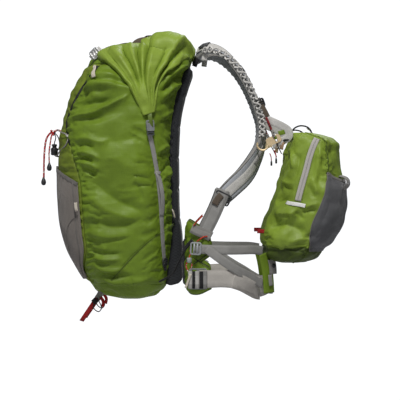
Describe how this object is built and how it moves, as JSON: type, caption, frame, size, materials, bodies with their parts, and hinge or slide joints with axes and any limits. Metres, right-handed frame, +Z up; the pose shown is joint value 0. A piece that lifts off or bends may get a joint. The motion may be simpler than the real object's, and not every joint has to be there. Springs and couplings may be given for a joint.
{
  "type": "hiking backpack",
  "caption": "Tall roll-top hiking backpack with side compression straps, rear stretch pocket, padded shoulder and hip harness, and a zipped balance pocket on each shoulder strap.",
  "frame": {"origin": "middle of the lumbar pad's flat face, where the wearer's lower back rests", "axes": "+X the way the wearer faces, +Y the wearer's left, +Z up"},
  "size_m": [0.6693, 0.3704, 0.6347],
  "materials": {
    "green_nylon": "ripstop nylon, slight sheen",
    "olive_nylon": "ripstop nylon, slight sheen",
    "stretch_grey": "stretch woven, matt",
    "spacer_mesh": "open spacer mesh, matt",
    "strap_padding": "woven cover over foam, matt",
    "grey_webbing": "woven nylon webbing, matt",
    "pale_webbing": "woven nylon webbing, matt",
    "red_webbing": "woven tape, matt",
    "cord": "braided cord, matt",
    "black_plastic": "moulded acetal, matt",
    "grey_plastic": "moulded acetal, satin",
    "gold_alloy": "gold anodised, satin",
    "stay_alloy": "bare, satin"
  },
  "bodies": {
    "pack": {"side_panel_right": "green_nylon", "side_panel_left": "green_nylon", "bottom_panel": "green_nylon", "roll_top": "green_nylon", "front_panel": "olive_nylon", "stretch_pocket": "stretch_grey", "back_panel": "spacer_mesh", "back_pad": "spacer_mesh", "lumbar_pad": "spacer_mesh", "compression_strap_right": "grey_webbing", "compression_strap_left": "grey_webbing", "top_strap": "grey_webbing", "front_cord": "cord", "main_zip": "black_plastic", "front_cord_lock": "black_plastic", "side_buckle_plug_right": "grey_plastic", "side_buckle_plug_left": "grey_plastic", "side_buckle_socket_right": "grey_plastic", "side_buckle_socket_left": "grey_plastic", "frame_stay_right": "stay_alloy", "frame_stay_left": "stay_alloy"},
    "harness_right": {"shoulder_strap_right": "strap_padding", "load_lifter_right": "pale_webbing", "lower_strap_right": "grey_webbing", "hip_fin_right": "green_nylon", "hip_webbing_right": "pale_webbing", "pocket_strap_right": "grey_webbing", "hip_front_tab_right": "green_nylon", "pocket_top_strap_right": "pale_webbing", "pocket_hook_right": "gold_alloy", "hip_buckle_plug": "grey_plastic"},
    "pocket_right": {"pocket_shell_right": "green_nylon", "pocket_mesh_right": "stretch_grey", "pocket_zip_right": "grey_plastic"},
    "pocket_slider_right": {"pocket_slider_right": "grey_plastic"},
    "hip_adjuster_right": {"hip_adjuster_right": "grey_plastic"},
    "ice_axe_loop_right": {"ice_axe_loop_right": "red_webbing"},
    "harness_left": {"shoulder_strap_left": "strap_padding", "load_lifter_left": "pale_webbing", "lower_strap_left": "grey_webbing", "hip_fin_left": "green_nylon", "hip_webbing_left": "pale_webbing", "pocket_strap_left": "grey_webbing", "hip_front_tab_left": "green_nylon", "pocket_top_strap_left": "pale_webbing", "pocket_hook_left": "gold_alloy", "hip_buckle_socket": "grey_plastic"},
    "pocket_left": {"pocket_shell_left": "green_nylon", "pocket_mesh_left": "stretch_grey", "pocket_zip_left": "grey_plastic"},
    "pocket_slider_left": {"pocket_slider_left": "grey_plastic"},
    "hip_adjuster_left": {"hip_adjuster_left": "grey_plastic"},
    "ice_axe_loop_left": {"ice_axe_loop_left": "red_webbing"},
    "main_zip_slider": {"main_zip_slider": "black_plastic"},
    "main_zip_pull": {"main_zip_pull": "pale_webbing"},
    "front_lock_plunger": {"front_lock_plunger": "black_plastic"},
    "haul_loop": {"haul_loop": "black_plastic"},
    "cord_pulls": {"cord_pulls": "cord"},
    "hip_buckle_prong_upper": {"hip_buckle_prong_upper": "grey_plastic"},
    "hip_buckle_prong_lower": {"hip_buckle_prong_lower": "grey_plastic"}
  },
  "joints": [
    {"name": "harness_right_swing", "type": "hinge", "parent": "pack", "child": "harness_right", "pos_m": [-0.005, -0.088, 0], "axis": [-0.0552, -0.0619, -0.9966], "range_deg": [0, 35]},
    {"name": "pocket_right_swing", "type": "hinge", "parent": "harness_right", "child": "pocket_right", "pos_m": [0.168, -0.126, 0], "axis": [-0.1385, -0.0075, -0.9903], "range_deg": [0, 20]},
    {"name": "pocket_zip_right_run", "type": "slide", "parent": "pocket_right", "child": "pocket_slider_right", "axis": [-0.2566, -0.0985, -0.9615], "range_m": [0, 0.122]},
    {"name": "hip_adjuster_right_tilt", "type": "hinge", "parent": "harness_right", "child": "hip_adjuster_right", "pos_m": [0.005, -0.174, -0.033], "axis": [0, 0, -1], "range_deg": [0, 50]},
    {"name": "ice_axe_loop_right_swing", "type": "hinge", "parent": "pack", "child": "ice_axe_loop_right", "pos_m": [-0.203, -0.062, -0.08], "axis": [0, 1, 0], "range_deg": [-35, 50]},
    {"name": "harness_left_swing", "type": "hinge", "parent": "pack", "child": "harness_left", "pos_m": [-0.005, 0.088, 0], "axis": [0.0552, -0.0619, 0.9966], "range_deg": [0, 35]},
    {"name": "pocket_left_swing", "type": "hinge", "parent": "harness_left", "child": "pocket_left", "pos_m": [0.168, 0.126, 0], "axis": [0.1385, -0.0075, 0.9903], "range_deg": [0, 20]},
    {"name": "pocket_zip_left_run", "type": "slide", "parent": "pocket_left", "child": "pocket_slider_left", "axis": [-0.2566, 0.0985, -0.9615], "range_m": [0, 0.122]},
    {"name": "hip_adjuster_left_tilt", "type": "hinge", "parent": "harness_left", "child": "hip_adjuster_left", "pos_m": [0.005, 0.174, -0.033], "axis": [0, 0, 1], "range_deg": [0, 50]},
    {"name": "ice_axe_loop_left_swing", "type": "hinge", "parent": "pack", "child": "ice_axe_loop_left", "pos_m": [-0.203, 0.062, -0.08], "axis": [0, 1, 0], "range_deg": [-35, 50]},
    {"name": "main_zip_run", "type": "hinge", "parent": "pack", "child": "main_zip_slider", "pos_m": [-0.05038, 0.05233, 0.29252], "axis": [0.4296, -0.7783, -0.4578], "range_deg": [0, 29]},
    {"name": "main_zip_pull_swing", "type": "hinge", "parent": "main_zip_slider", "child": "main_zip_pull", "pos_m": [-0.20137, -0.10802, 0.42668], "axis": [-0.738, 0.4513, -0.5017], "range_deg": [0, 80]},
    {"name": "front_lock_press", "type": "slide", "parent": "pack", "child": "front_lock_plunger", "axis": [0, 0, -1], "range_m": [0, 0.004], "stiffness_N_per_m": 300},
    {"name": "haul_loop_fold", "type": "hinge", "parent": "pack", "child": "haul_loop", "pos_m": [0.013, 0, 0.437], "axis": [0, 1, 0], "range_deg": [-5, 60]},
    {"name": "cord_pulls_swing", "type": "hinge", "parent": "pack", "child": "cord_pulls", "pos_m": [-0.3, -0.022, 0.287], "axis": [0, 1, 0], "range_deg": [0, 40]},
    {"name": "hip_prong_upper_squeeze", "type": "hinge", "parent": "harness_right", "child": "hip_buckle_prong_upper", "pos_m": [0.183, -0.0265, -0.0325], "axis": [1, 0, 0], "range_deg": [-10, 0], "stiffness_Nm_per_rad": 0.05},
    {"name": "hip_prong_lower_squeeze", "type": "hinge", "parent": "harness_right", "child": "hip_buckle_prong_lower", "pos_m": [0.183, -0.0265, -0.0655], "axis": [1, 0, 0], "range_deg": [0, 10]}
  ],
  "couplings": [
    {"joint": "hip_prong_lower_squeeze", "follows": "hip_prong_upper_squeeze", "ratio": -1}
  ]
}
